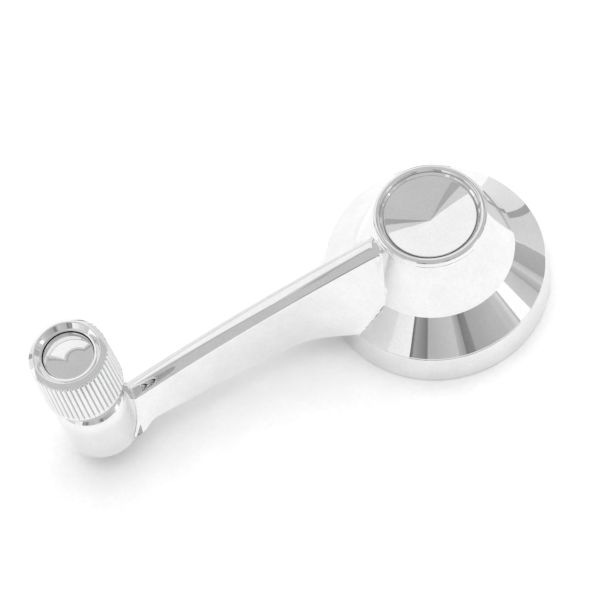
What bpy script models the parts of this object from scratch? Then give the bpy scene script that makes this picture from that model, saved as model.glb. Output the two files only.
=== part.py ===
"""A car window crank handle: a chromed cast crank with a dished hub, an escutcheon ring that stays still
behind it, and a fluted knob that turns on a riveted pin.

The spindle's axis is +Z and the door panel's face is z = 0. The arm points along -X and the knob's axis is
parallel to the spindle's. Turned pieces are drawn as outlines of (radius, height) and spun round their axis.
"""

import math

import bmesh
import bpy
from mathutils import Matrix

MM = 0.001

# Clearances
GAP = 0.3 * MM  # between pieces that touch or press together
RUNNING_GAP = 0.3 * MM  # between pieces that turn against each other

# Whole handle
CRANK_LENGTH = 110 * MM  # spindle axis to knob axis
LARGE_STEPS = 48  # facets round the hub and the escutcheon
SMALL_STEPS = 36  # facets round the boss, the neck's rings and the knob
TINY_STEPS = 24  # facets round pins, screws and washers

# Escutcheon ring
RING_HEIGHT = 10.6 * MM
RING_TOP_RADIUS = 33.1 * MM
RING_SPREAD = 1.6 * MM  # how much wider the foot is than the top
RING_WALL = 1.7 * MM
RING_EDGE = 0.5 * MM  # rounding of the foot and the top edge
RING_WEB = 1.8 * MM  # thickness of the web that the neck passes through
RING_RECESS = 1.6 * MM  # depth of the web's face under the top edge

# Gasket in the escutcheon's foot
GASKET_HEIGHT = 2.0 * MM
GASKET_WIDTH = 2.8 * MM

# Friction ring between escutcheon and flange
FRICTION_WIDTH = 3.0 * MM

# Crank casting: flange, hub and bead
FLANGE_LAND = 0.5 * MM  # upright edge of the flange
FLANGE_RISE = 9.5 * MM  # from the flange's underside to the hub's foot
HUB_FOOT_RADIUS = 24.0 * MM
HUB_TOP_RADIUS = 17.0 * MM
HUB_RISE = 17.6 * MM
BEAD_RADIUS = 1.15 * MM
BEAD_INSET = 1.5 * MM  # from the hub's top edge in to the bead's middle
BEAD_STEPS = 4
FLANGE_BEARING = 7.2 * MM  # width of the flange's flat underside
CASTING_WALL = 2.4 * MM
NECK_WALL = 2.2 * MM
NECK_END = 1.7 * MM  # how far the neck reaches past its circlip groove
WEB_THICKNESS = 3.0 * MM
SCREW_POCKET_ROOM = 0.6 * MM  # round the plain washer

# Hub cap
CAP_SURROUND = 1.15 * MM  # width of the groove between bead and cap
CAP_THICKNESS = 1.1 * MM
CAP_EDGE_BELOW_BEAD = 1.7 * MM
CAP_DISH = 2.8 * MM
CAP_SKIRT = 4.7 * MM
CAP_SKIRT_WALL = 1.6 * MM
SNAP_WIRE = 0.9 * MM
SNAP_OPENING = 20  # degrees

# Arm
ARM_BELOW_BEAD = 2.0 * MM  # from the hub's top edge down to the arm's top strip
ARM_END_HEIGHT = 9.6 * MM  # of the top strip above the underside, where it meets the boss
ARM_CROWN = 2.0 * MM  # how far the top line rises above a straight one
ARM_STRIP_HALF = 3.3 * MM  # half the width of the top strip
ARM_STRIP_SWELL = 0.3 * MM
ARM_EDGE = 0.9 * MM
ARM_WAIST_HALF = 5.15 * MM  # half the width of the underside where it is narrowest
ARM_END_INSET = 4.4 * MM  # from the boss's side in to the arm's foot beside it
ROOT_REACH = 12.0 * MM  # how far past the flange the root begins to widen
ROOT_FLARE = 0.43
BOSS_FLARE = 2.6 * MM
ARM_STEPS = 10

# Boss
BOSS_RADIUS = 11.4 * MM
BOSS_DRAFT = 0.2 * MM
BOSS_DROP = 1.5 * MM  # how far the boss reaches below the arm's underside
BOSS_EDGE = 1.2 * MM
BOSS_HEIGHT = 20.6 * MM  # from the arm's underside to the top of the shoulder
BOSS_SHOULDER_RISE = 6.0 * MM
SHOULDER_STEPS = 5
COLLAR_RADIUS = 7.4 * MM
COLLAR_HEIGHT = 4.9 * MM
RIVET_POCKET_ROOM = 1.6 * MM  # round the riveted end
RIVET_POCKET_DEPTH = 4.0 * MM

# Spindle side hardware
INSERT_WALL = 2.8 * MM
SPLINES = 20
SPLINE_ROOT = 5.2 * MM
SPLINE_DEPTH = 0.5 * MM
SOCKET_LEAD_IN = 0.8 * MM
SCREW_RADIUS = 2.9 * MM
SCREW_REACH = 5.5 * MM  # how far the screw stands into the socket
SCREW_HEAD_RADIUS = 5.4 * MM
SCREW_HEAD_HEIGHT = 3.4 * MM
SCREW_HEAD_ROOM = 2.0 * MM  # between the screw's head and the cap
SCREW_SLOT = 1.3 * MM
SCREW_SLOT_DEPTH = 1.5 * MM
LOCK_WASHER_HEIGHT = 1.4 * MM
LOCK_WASHER_OPENING = 12  # degrees
PLAIN_WASHER_HEIGHT = 1.2 * MM
PLAIN_WASHER_RADIUS = 7.0 * MM

# Neck rings and spring
CIRCLIP_THICKNESS = 1.1 * MM
CIRCLIP_REACH = 2.3 * MM  # how far it stands out from the neck
CIRCLIP_GROOVE = 0.9 * MM
CIRCLIP_OPENING = 40  # degrees
NECK_WASHER_HEIGHT = 1.0 * MM
NECK_WASHER_WIDTH = 4.5 * MM
SPRING_WIRE = 1.2 * MM
SPRING_LOW_ROOM = 8.5 * MM  # from the neck out to the wire at each end
SPRING_HIGH_ROOM = 2.9 * MM
SPRING_TURNS = 2.5
SPRING_STEPS = 20  # facets in each turn

# Knob
KNOB_CLEARANCE = 1.1 * MM  # from the boss collar to the sleeve's lower edge
KNOB_HEIGHT = 19.9 * MM
KNOB_TOP_RADIUS = 11.15 * MM
KNOB_TAPER = 0.6 * MM  # how much wider the foot is than the top
KNOB_WALL = 1.1 * MM
KNOB_PLAIN_RING = 0.8 * MM
CROWN_RISE = 1.1 * MM
CROWN_RIDGE = 0.43  # how far out from lip to edge the ridge lies
CROWN_DIP = 1.6 * MM
CROWN_LIP = 0.55 * MM  # width of the flat lip round the cap's opening
CROWN_PLATE = 1.3 * MM
FLUTES = 48
FLUTE_DEPTH = 0.35 * MM
KNOB_CAP_SURROUND = 0.8 * MM  # width of the groove round the cap
KNOB_CAP_LEDGE = 0.75 * MM  # of the core under the cap's edge
KNOB_CAP_SEAT = 1.2 * MM  # how far the cap sits in the core
KNOB_CAP_SIDE = 2.5 * MM
KNOB_CAP_DOME = 1.2 * MM
DOME_STEPS = 4
CORE_STEP = 0.5 * MM
BUSH_WALL = 1.4 * MM
BUSH_FLANGE = 1.0 * MM

# Knob pin and its washers
PIN_RADIUS = 3.3 * MM
PIN_HEAD_REACH = 2.2 * MM  # how far the head stands out from the pin
PIN_HEAD_HEIGHT = 1.8 * MM
RIVET_REACH = 1.5 * MM
RIVET_TAPER = 1.44 * MM
RIVET_HEIGHT = 1.7 * MM
THRUST_WASHER_HEIGHT = 1.0 * MM
RIVET_WASHER_HEIGHT = 1.1 * MM
WAVE_WASHER_THICKNESS = 0.5 * MM
WAVE_HEIGHT = 0.35 * MM
WAVES = 3

# Levels that several pieces share
CASTING_UNDERSIDE = RING_HEIGHT + RUNNING_GAP
HUB_FOOT = CASTING_UNDERSIDE + FLANGE_RISE
HUB_TOP = HUB_FOOT + HUB_RISE
BEAD_HEIGHT = HUB_TOP + BEAD_RADIUS / 2
BEAD_TOP = BEAD_HEIGHT + BEAD_RADIUS
CAP_EDGE = BEAD_TOP - CAP_EDGE_BELOW_BEAD
CAP_FOOT = CAP_EDGE - CAP_SKIRT
CAP_SEAT = CAP_FOOT - GAP
SNAP_HEIGHT = CAP_FOOT + CAP_SKIRT / 3
RING_WEB_TOP = RING_HEIGHT - RING_RECESS
RING_WEB_UNDERSIDE = RING_WEB_TOP - RING_WEB
NECK_WASHER_TOP = RING_WEB_UNDERSIDE - RUNNING_GAP
CIRCLIP_TOP = NECK_WASHER_TOP - NECK_WASHER_HEIGHT - GAP
CIRCLIP_FOOT = CIRCLIP_TOP - CIRCLIP_THICKNESS
NECK_FOOT = CIRCLIP_FOOT - GAP - NECK_END
CAP_APEX = CAP_EDGE - CAP_DISH
SCREW_HEAD_TOP = CAP_APEX - CAP_THICKNESS - SCREW_HEAD_ROOM
SCREW_HEAD_FOOT = SCREW_HEAD_TOP - SCREW_HEAD_HEIGHT
LOCK_WASHER_FOOT = SCREW_HEAD_FOOT - GAP - LOCK_WASHER_HEIGHT
HUB_WASHER_FOOT = LOCK_WASHER_FOOT - GAP - PLAIN_WASHER_HEIGHT
WEB_TOP = HUB_WASHER_FOOT - GAP
WEB_UNDERSIDE = WEB_TOP - WEB_THICKNESS
HOLLOW_TOP = WEB_UNDERSIDE + WEB_THICKNESS / 2
ARM_TOP_AT_HUB = HUB_TOP - ARM_BELOW_BEAD
ARM_TOP_AT_BOSS = CASTING_UNDERSIDE + ARM_END_HEIGHT
BOSS_SHOULDER_TOP = CASTING_UNDERSIDE + BOSS_HEIGHT
COLLAR_TOP = BOSS_SHOULDER_TOP + COLLAR_HEIGHT
BOSS_FOOT = CASTING_UNDERSIDE - BOSS_DROP
RIVET_POCKET_TOP = BOSS_FOOT + RIVET_POCKET_DEPTH
RIVET_WASHER_FOOT = RIVET_POCKET_TOP - GAP - RIVET_WASHER_HEIGHT
RIVET_TOP = RIVET_WASHER_FOOT - GAP
KNOB_FOOT = COLLAR_TOP + KNOB_CLEARANCE
CROWN_TOP = KNOB_FOOT + KNOB_HEIGHT
CROWN_EDGE = CROWN_TOP - CROWN_RISE
CROWN_UNDERSIDE = CROWN_TOP - CROWN_DIP - CROWN_PLATE
CORE_TOP = CROWN_UNDERSIDE - GAP
CORE_FOOT = COLLAR_TOP + RUNNING_GAP + THRUST_WASHER_HEIGHT + RUNNING_GAP
KNOB_CAP_FOOT = CORE_TOP - KNOB_CAP_SEAT
PIN_HEAD_TOP = KNOB_CAP_FOOT - CORE_STEP - GAP
PIN_HEAD_FOOT = PIN_HEAD_TOP - PIN_HEAD_HEIGHT
WAVE_WASHER_TOP = PIN_HEAD_FOOT - RUNNING_GAP
WAVE_WASHER_FOOT = WAVE_WASHER_TOP - WAVE_WASHER_THICKNESS - WAVE_HEIGHT
KNOB_WASHER_FOOT = WAVE_WASHER_FOOT - RUNNING_GAP - WAVE_WASHER_THICKNESS
BUSH_TOP = KNOB_WASHER_FOOT - RUNNING_GAP

# Radii that several pieces share
RING_FOOT_RADIUS = RING_TOP_RADIUS + RING_SPREAD
GASKET_OUTER = RING_FOOT_RADIUS - RING_WALL
RING_INNER = GASKET_OUTER - GASKET_WIDTH / 2
FLANGE_RADIUS = RING_TOP_RADIUS
BEAD_RING_RADIUS = HUB_TOP_RADIUS - BEAD_INSET
CAP_RADIUS = BEAD_RING_RADIUS - BEAD_RADIUS - CAP_SURROUND
SCREW_POCKET_RADIUS = PLAIN_WASHER_RADIUS + SCREW_POCKET_ROOM
SPLINE_CREST = SPLINE_ROOT - SPLINE_DEPTH
INSERT_RADIUS = SPLINE_ROOT + INSERT_WALL
NECK_RADIUS = INSERT_RADIUS + GAP + NECK_WALL
CIRCLIP_RADIUS = NECK_RADIUS + CIRCLIP_REACH
NECK_WASHER_RADIUS = NECK_RADIUS + NECK_WASHER_WIDTH
SPRING_LOW_RADIUS = NECK_RADIUS + SPRING_LOW_ROOM
SPRING_HIGH_RADIUS = NECK_RADIUS + SPRING_HIGH_ROOM
ARM_END_HALF = BOSS_RADIUS - ARM_END_INSET
PIN_HOLE_RADIUS = PIN_RADIUS + RUNNING_GAP
PIN_HEAD_RADIUS = PIN_RADIUS + PIN_HEAD_REACH
RIVET_RADIUS = PIN_RADIUS + RIVET_REACH
RIVET_POCKET_RADIUS = RIVET_RADIUS + RIVET_POCKET_ROOM
BUSH_RADIUS = PIN_HOLE_RADIUS + BUSH_WALL
CORE_STEP_RADIUS = PIN_HEAD_RADIUS + GAP
CORE_RADIUS = KNOB_TOP_RADIUS - KNOB_WALL - GAP
KNOB_CAP_RADIUS = CORE_STEP_RADIUS + KNOB_CAP_LEDGE
CROWN_HOLE_RADIUS = KNOB_CAP_RADIUS + KNOB_CAP_SURROUND
CROWN_LIP_RADIUS = CROWN_HOLE_RADIUS + CROWN_LIP
CROWN_RADIUS = CROWN_LIP_RADIUS + (KNOB_TOP_RADIUS - CROWN_LIP_RADIUS) * CROWN_RIDGE
KNOB_FOOT_RADIUS = KNOB_TOP_RADIUS + KNOB_TAPER


# Tools


def clear_scene():
    for obj in list(bpy.data.objects):
        bpy.data.objects.remove(obj, do_unlink=True)


def material(name, colour, roughness, metallic):
    """A plain finish: the part's colour, how rough it is and whether it is metal."""
    made = bpy.data.materials.new(name)
    made.use_nodes = True
    shader = made.node_tree.nodes["Principled BSDF"]
    shader.inputs["Base Color"].default_value = (*colour, 1.0)
    shader.inputs["Roughness"].default_value = roughness
    shader.inputs["Metallic"].default_value = metallic
    made.diffuse_color = (*colour, 1.0)
    return made


def axis_empty(name, x):
    """An empty on an upright axis that the pieces turn round."""
    empty = bpy.data.objects.new(name, None)
    empty.location = (x, 0, 0)
    bpy.context.scene.collection.objects.link(empty)
    return empty


def place(name, mesh, parent, finish):
    obj = bpy.data.objects.new(name, mesh)
    obj.parent = parent
    if finish is not None:
        mesh.materials.append(finish)
    bpy.context.scene.collection.objects.link(obj)
    return obj


def mesh_from(bm, name):
    """The bmesh as a mesh with outward faces, smooth but for its real edges."""
    bmesh.ops.remove_doubles(bm, verts=bm.verts, dist=1e-6)
    bmesh.ops.recalc_face_normals(bm, faces=bm.faces)
    mesh = bpy.data.meshes.new(name)
    bm.to_mesh(mesh)
    bm.free()
    mesh.shade_smooth()
    mesh.set_sharp_from_angle(angle=math.radians(30))
    return mesh


def spun(outline, steps):
    """A bmesh of a closed outline of (radius, height) points, turned all the way round."""
    bm = bmesh.new()
    verts = [bm.verts.new((radius, 0, height)) for radius, height in outline]
    edges = [bm.edges.new((verts[i - 1], verts[i])) for i in range(len(verts))]
    bmesh.ops.spin(
        bm,
        geom=verts + edges,
        cent=(0, 0, 0),
        axis=(0, 0, 1),
        angle=math.tau,
        steps=steps,
        use_merge=True,
    )
    bmesh.ops.remove_doubles(bm, verts=bm.verts, dist=1e-6)
    return bm


def turned(name, outline, steps, parent, finish):
    return place(name, mesh_from(spun(outline, steps), name), parent, finish)


def split_ring(name, outline, steps, opening, rise, parent, finish):
    """A ring with a slit of that many degrees, which climbs by rise from one end to the other."""
    bm = bmesh.new()
    face = bm.faces.new([bm.verts.new((radius, 0, height)) for radius, height in outline])
    bmesh.ops.rotate(
        bm,
        verts=bm.verts,
        cent=(0, 0, 0),
        matrix=Matrix.Rotation(math.radians(opening / 2), 3, "Z"),
    )
    bmesh.ops.spin(
        bm,
        geom=[face, *face.edges, *face.verts],
        cent=(0, 0, 0),
        axis=(0, 0, 1),
        dvec=(0, 0, rise / steps),
        angle=math.radians(360 - opening),
        steps=steps,
    )
    return place(name, mesh_from(bm, name), parent, finish)


def box_outline(inner, outer, foot, top):
    """The outline of a plain ring or washer."""
    return [(inner, foot), (inner, top), (outer, top), (outer, foot)]


def arc(centre, radius, start, end, steps):
    """Points on an arc of an outline, from one angle to the other in degrees from the radial direction."""
    points = []
    for i in range(steps + 1):
        angle = math.radians(start + (end - start) * i / steps)
        points.append((centre[0] + radius * math.cos(angle), centre[1] + radius * math.sin(angle)))
    return points


def combine(obj, other, operation):
    """Joins or cuts obj with another object, which is then only a helper."""
    other.hide_render = True
    other.display_type = "WIRE"
    modifier = obj.modifiers.new(other.name, "BOOLEAN")
    modifier.operation = operation
    modifier.object = other
    modifier.solver = "EXACT"


def cutter(name, outline, steps, parent):
    return turned(name, outline, steps, parent, None)


def scallop(bm, count, keep, change):
    """Moves every second facet line, where keep(radius, height) holds, by change along the radius."""
    for vert in bm.verts:
        radius = math.hypot(vert.co.x, vert.co.y)
        if not keep(radius, vert.co.z):
            continue
        line = round(math.atan2(vert.co.y, vert.co.x) / math.tau * 2 * count)
        if line % 2:
            factor = (radius + change) / radius
            vert.co.x *= factor
            vert.co.y *= factor


# Escutcheon


def ring_radius(height):
    """Outer radius of the escutcheon's flared skirt at a height."""
    return RING_FOOT_RADIUS + (RING_TOP_RADIUS - RING_FOOT_RADIUS) * height / RING_HEIGHT


def escutcheon_ring(parent, finish):
    hole = NECK_RADIUS + RUNNING_GAP
    step = GASKET_HEIGHT + GAP
    outline = [
        (ring_radius(RING_HEIGHT) - RING_EDGE, RING_HEIGHT),
        (ring_radius(RING_HEIGHT - RING_EDGE), RING_HEIGHT - RING_EDGE),
        (ring_radius(RING_EDGE), RING_EDGE),
        (RING_FOOT_RADIUS - RING_EDGE, 0),
        (GASKET_OUTER, 0),
        (GASKET_OUTER, step),
        (RING_INNER, step),
        (RING_INNER, RING_WEB_UNDERSIDE),
        (hole, RING_WEB_UNDERSIDE),
        (hole, RING_WEB_TOP),
        (RING_TOP_RADIUS - RING_WALL, RING_WEB_TOP),
        (RING_TOP_RADIUS - RING_WALL, RING_HEIGHT),
    ]
    return turned("escutcheon_ring", outline, LARGE_STEPS, parent, finish)


def rim_gasket(parent, finish):
    outer = GASKET_OUTER - GAP
    outline = box_outline(outer - GASKET_WIDTH, outer, 0, GASKET_HEIGHT)
    return turned("rim_gasket", outline, LARGE_STEPS, parent, finish)


def friction_ring(parent, finish):
    outer = RING_TOP_RADIUS - RING_WALL - GAP
    outline = box_outline(outer - FRICTION_WIDTH, outer, RING_WEB_TOP + GAP, RING_HEIGHT)
    return turned("friction_ring", outline, LARGE_STEPS, parent, finish)


# Crank casting


def hub_outline():
    """The solid flange, hub and bead, from the axis over the bead and down to the underside."""
    bead = arc((BEAD_RING_RADIUS, BEAD_HEIGHT), BEAD_RADIUS, 180, 0, BEAD_STEPS)
    return [
        (0, CAP_EDGE),
        (BEAD_RING_RADIUS - BEAD_RADIUS, CAP_EDGE),
        *bead,
        (HUB_TOP_RADIUS, HUB_TOP),
        (HUB_FOOT_RADIUS, HUB_FOOT),
        (FLANGE_RADIUS, CASTING_UNDERSIDE + FLANGE_LAND),
        (FLANGE_RADIUS, CASTING_UNDERSIDE),
        (NECK_RADIUS, CASTING_UNDERSIDE),
        (NECK_RADIUS, NECK_FOOT),
        (0, NECK_FOOT),
    ]


def hollow_outline():
    """The ring-shaped hollow under the flange, between the neck and the outer wall."""
    mouth = FLANGE_RADIUS - FLANGE_BEARING
    hub_slope = (HUB_FOOT_RADIUS - HUB_TOP_RADIUS) / HUB_RISE
    return [
        (NECK_RADIUS, HOLLOW_TOP),
        (HUB_FOOT_RADIUS - CASTING_WALL - (HOLLOW_TOP - HUB_FOOT) * hub_slope, HOLLOW_TOP),
        (HUB_FOOT_RADIUS - CASTING_WALL, HUB_FOOT - CASTING_WALL / 2),
        (mouth, CASTING_UNDERSIDE),
        (mouth, CASTING_UNDERSIDE - BOSS_DROP),
        (NECK_RADIUS, CASTING_UNDERSIDE - BOSS_DROP),
    ]


def hub_bore_outline():
    """Everything bored from the hub on its axis: cap seat, snap groove, screw pocket, screw hole, insert bore."""
    seat = CAP_RADIUS + GAP
    groove = seat + SNAP_WIRE
    mouth = BEAD_RING_RADIUS - BEAD_RADIUS / 2
    return [
        (0, BEAD_TOP + BEAD_RADIUS),
        (mouth, BEAD_TOP + BEAD_RADIUS),
        (mouth, BEAD_HEIGHT),
        (seat, CAP_EDGE - BEAD_RADIUS / 2),
        (seat, SNAP_HEIGHT + SNAP_WIRE / 2 + GAP),
        (groove, SNAP_HEIGHT + SNAP_WIRE / 2 + GAP),
        (groove, SNAP_HEIGHT - SNAP_WIRE / 2 - GAP),
        (seat, SNAP_HEIGHT - SNAP_WIRE / 2 - GAP),
        (seat, CAP_SEAT),
        (SCREW_POCKET_RADIUS, CAP_SEAT),
        (SCREW_POCKET_RADIUS, WEB_TOP),
        (SCREW_RADIUS + GAP, WEB_TOP),
        (SCREW_RADIUS + GAP, WEB_UNDERSIDE),
        (INSERT_RADIUS + GAP, WEB_UNDERSIDE),
        (INSERT_RADIUS + GAP, NECK_FOOT - BOSS_DROP),
        (0, NECK_FOOT - BOSS_DROP),
    ]


def groove_outline():
    """The circlip's groove round the neck."""
    return box_outline(
        NECK_RADIUS - CIRCLIP_GROOVE,
        NECK_RADIUS + CIRCLIP_GROOVE,
        CIRCLIP_FOOT - GAP,
        CIRCLIP_TOP + GAP,
    )


def arm_top(x):
    """Height of the arm's top strip at a distance from the spindle's axis."""
    start = HUB_TOP_RADIUS
    share = (x - start) / (CRANK_LENGTH - BOSS_RADIUS - start)
    level = ARM_TOP_AT_HUB + (ARM_TOP_AT_BOSS - ARM_TOP_AT_HUB) * share
    return level + 4 * ARM_CROWN * share * (1 - share)


def arm_foot(x):
    """Half the width of the arm's underside: it widens slowly to the boss and quickly at both ends."""
    waist = FLANGE_RADIUS + ROOT_REACH
    end = CRANK_LENGTH - BOSS_RADIUS
    if x < waist:
        return ARM_WAIST_HALF + ROOT_FLARE * (waist - x)
    share = min((x - waist) / (end - waist), 1)
    flare = max(x - end + 2 * BOSS_EDGE, 0) / (4 * BOSS_EDGE)
    return ARM_WAIST_HALF + (ARM_END_HALF - ARM_WAIST_HALF) * share**2 + BOSS_FLARE * min(flare, 1)


def arm_section(x):
    """The arm's cross-section at x, as points (across, height) from one foot over the top to the other."""
    foot = arm_foot(x)
    top = arm_top(x)
    strip = ARM_STRIP_HALF
    half = [
        (foot, CASTING_UNDERSIDE),
        (strip, top - ARM_EDGE),
        (strip - ARM_EDGE * (1 - math.sqrt(0.5)), top - ARM_EDGE * (1 - math.sqrt(0.5))),
        (strip - ARM_EDGE, top),
    ]
    return half + [(0, top + ARM_STRIP_SWELL)] + [(-across, height) for across, height in reversed(half)]


def arm(parent):
    """The arm alone, from inside the hub to inside the boss, as one lofted solid."""
    start = HUB_TOP_RADIUS - CASTING_WALL
    root = FLANGE_RADIUS + ROOT_REACH
    end = CRANK_LENGTH - BOSS_RADIUS / 2
    stations = [start + (root - start) * i / 4 for i in range(4)]
    stations += [root + (end - root) * i / ARM_STEPS for i in range(ARM_STEPS + 1)]
    bm = bmesh.new()
    loops = []
    for x in stations:
        verts = [bm.verts.new((-x, across, height)) for across, height in arm_section(x)]
        loops.append([bm.edges.new((verts[i - 1], verts[i])) for i in range(len(verts))])
    for first, second in zip(loops, loops[1:]):
        bmesh.ops.bridge_loops(bm, edges=first + second)
    bmesh.ops.holes_fill(bm, edges=bm.edges)
    return place("arm_shape", mesh_from(bm, "arm_shape"), parent, None)


def boss(parent):
    """The boss at the arm's end: a drafted cylinder with a rounded shoulder and a low collar."""
    reach = BOSS_RADIUS - COLLAR_RADIUS - BOSS_DRAFT
    low = BOSS_SHOULDER_TOP - BOSS_SHOULDER_RISE
    shoulder = [
        (COLLAR_RADIUS + reach * across, low + BOSS_SHOULDER_RISE * up)
        for across, up in reversed(arc((0, 0), 1, 0, 90, SHOULDER_STEPS))
    ]
    outline = [
        (0, COLLAR_TOP),
        (COLLAR_RADIUS, COLLAR_TOP),
        *shoulder,
        (BOSS_RADIUS, BOSS_FOOT + BOSS_EDGE),
        *arc((BOSS_RADIUS - BOSS_EDGE, BOSS_FOOT + BOSS_EDGE), BOSS_EDGE, -45, -90, 1),
        (0, BOSS_FOOT),
    ]
    return turned("boss_shape", outline, SMALL_STEPS, parent, None)


def pin_bore_outline():
    """The pin's hole through the boss and the pocket for its riveted end."""
    return [
        (0, COLLAR_TOP + BOSS_DROP),
        (PIN_HOLE_RADIUS, COLLAR_TOP + BOSS_DROP),
        (PIN_HOLE_RADIUS, RIVET_POCKET_TOP),
        (RIVET_POCKET_RADIUS, RIVET_POCKET_TOP),
        (RIVET_POCKET_RADIUS, BOSS_FOOT - BOSS_DROP),
        (0, BOSS_FOOT - BOSS_DROP),
    ]


def crank_casting(spindle, knob, finish):
    casting = turned("crank_casting", hub_outline(), LARGE_STEPS, spindle, finish)
    combine(casting, arm(spindle), "UNION")
    combine(casting, boss(knob), "UNION")
    combine(casting, cutter("cut_hollow", hollow_outline(), LARGE_STEPS, spindle), "DIFFERENCE")
    combine(casting, cutter("cut_hub_bore", hub_bore_outline(), SMALL_STEPS, spindle), "DIFFERENCE")
    combine(casting, cutter("cut_groove", groove_outline(), SMALL_STEPS, spindle), "DIFFERENCE")
    combine(casting, cutter("cut_pin_bore", pin_bore_outline(), TINY_STEPS, knob), "DIFFERENCE")
    return casting


# Hub hardware


def spline_insert(parent, finish):
    """Steel socket with straight splines, pressed into the neck."""
    foot = NECK_FOOT
    top = WEB_UNDERSIDE - GAP
    outline = [
        (SPLINE_CREST, top),
        (INSERT_RADIUS, top),
        (INSERT_RADIUS, foot),
        (SPLINE_ROOT + SOCKET_LEAD_IN, foot),
        (SPLINE_CREST, foot + SOCKET_LEAD_IN),
    ]
    bm = spun(outline, 2 * SPLINES)
    scallop(
        bm,
        SPLINES,
        lambda radius, height: radius < (SPLINE_CREST + SPLINE_ROOT) / 2,
        SPLINE_ROOT - SPLINE_CREST,
    )
    return place("spline_insert", mesh_from(bm, "spline_insert"), parent, finish)


def hub_screw(parent, finish):
    """Slotted cheese-head screw that draws the handle on to the spindle."""
    top = SCREW_HEAD_TOP
    outline = [
        (0, top),
        (SCREW_HEAD_RADIUS - SCREW_SLOT / 2, top),
        (SCREW_HEAD_RADIUS, top - SCREW_SLOT / 2),
        (SCREW_HEAD_RADIUS, SCREW_HEAD_FOOT),
        (SCREW_RADIUS, SCREW_HEAD_FOOT),
        (SCREW_RADIUS, WEB_UNDERSIDE - SCREW_REACH + SCREW_SLOT / 2),
        (SCREW_RADIUS - SCREW_SLOT / 2, WEB_UNDERSIDE - SCREW_REACH),
        (0, WEB_UNDERSIDE - SCREW_REACH),
    ]
    screw = turned("hub_screw", outline, TINY_STEPS, parent, finish)
    bm = bmesh.new()
    bmesh.ops.create_cube(bm, size=1)
    bmesh.ops.scale(bm, vec=(4 * SCREW_HEAD_RADIUS, SCREW_SLOT, 2 * SCREW_SLOT_DEPTH), verts=bm.verts)
    bmesh.ops.translate(bm, vec=(0, 0, top), verts=bm.verts)
    combine(screw, place("cut_slot", mesh_from(bm, "cut_slot"), parent, None), "DIFFERENCE")
    return screw


def hub_lock_washer(parent, finish):
    """Split spring washer, its ends a little apart in height."""
    outline = box_outline(
        SCREW_RADIUS + GAP,
        SCREW_HEAD_RADIUS,
        LOCK_WASHER_FOOT,
        LOCK_WASHER_FOOT + LOCK_WASHER_HEIGHT - GAP,
    )
    return split_ring("hub_lock_washer", outline, TINY_STEPS, LOCK_WASHER_OPENING, GAP, parent, finish)


def hub_plain_washer(parent, finish):
    outline = box_outline(
        SCREW_RADIUS + GAP,
        PLAIN_WASHER_RADIUS,
        HUB_WASHER_FOOT,
        HUB_WASHER_FOOT + PLAIN_WASHER_HEIGHT,
    )
    return turned("hub_plain_washer", outline, TINY_STEPS, parent, finish)


def hub_cap(parent, finish):
    """Shallow conical dish with a skirt, grooved for the snap ring."""
    inner = CAP_RADIUS - CAP_SKIRT_WALL
    groove = CAP_RADIUS - SNAP_WIRE / 2
    outline = [
        (0, CAP_APEX),
        (CAP_RADIUS - GAP, CAP_EDGE),
        (CAP_RADIUS, CAP_EDGE - GAP),
        (CAP_RADIUS, SNAP_HEIGHT + SNAP_WIRE / 2 + GAP),
        (groove, SNAP_HEIGHT + SNAP_WIRE / 2 + GAP),
        (groove, SNAP_HEIGHT - SNAP_WIRE / 2 - GAP),
        (CAP_RADIUS, SNAP_HEIGHT - SNAP_WIRE / 2 - GAP),
        (CAP_RADIUS, CAP_FOOT),
        (inner, CAP_FOOT),
        (inner, CAP_APEX + CAP_DISH * inner / CAP_RADIUS - CAP_THICKNESS),
        (0, CAP_APEX - CAP_THICKNESS),
    ]
    return turned("hub_cap", outline, SMALL_STEPS, parent, finish)


def cap_snap_ring(parent, finish):
    """Square wire ring, slit, half in the cap's groove and half in the hub's."""
    inner = CAP_RADIUS - SNAP_WIRE / 2 + GAP
    outer = CAP_RADIUS + SNAP_WIRE
    outline = box_outline(inner, outer, SNAP_HEIGHT - SNAP_WIRE / 2, SNAP_HEIGHT + SNAP_WIRE / 2)
    return split_ring("cap_snap_ring", outline, SMALL_STEPS, SNAP_OPENING, 0, parent, finish)


def neck_circlip(parent, finish):
    """Open ring in the neck's groove, which keeps the escutcheon on."""
    inner = NECK_RADIUS - CIRCLIP_GROOVE + GAP
    outline = box_outline(inner, CIRCLIP_RADIUS, CIRCLIP_FOOT, CIRCLIP_TOP)
    return split_ring("neck_circlip", outline, SMALL_STEPS, CIRCLIP_OPENING, 0, parent, finish)


def neck_washer(parent, finish):
    outline = box_outline(
        NECK_RADIUS + GAP,
        NECK_WASHER_RADIUS,
        NECK_WASHER_TOP - NECK_WASHER_HEIGHT,
        NECK_WASHER_TOP,
    )
    return turned("neck_washer", outline, SMALL_STEPS, parent, finish)


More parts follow.
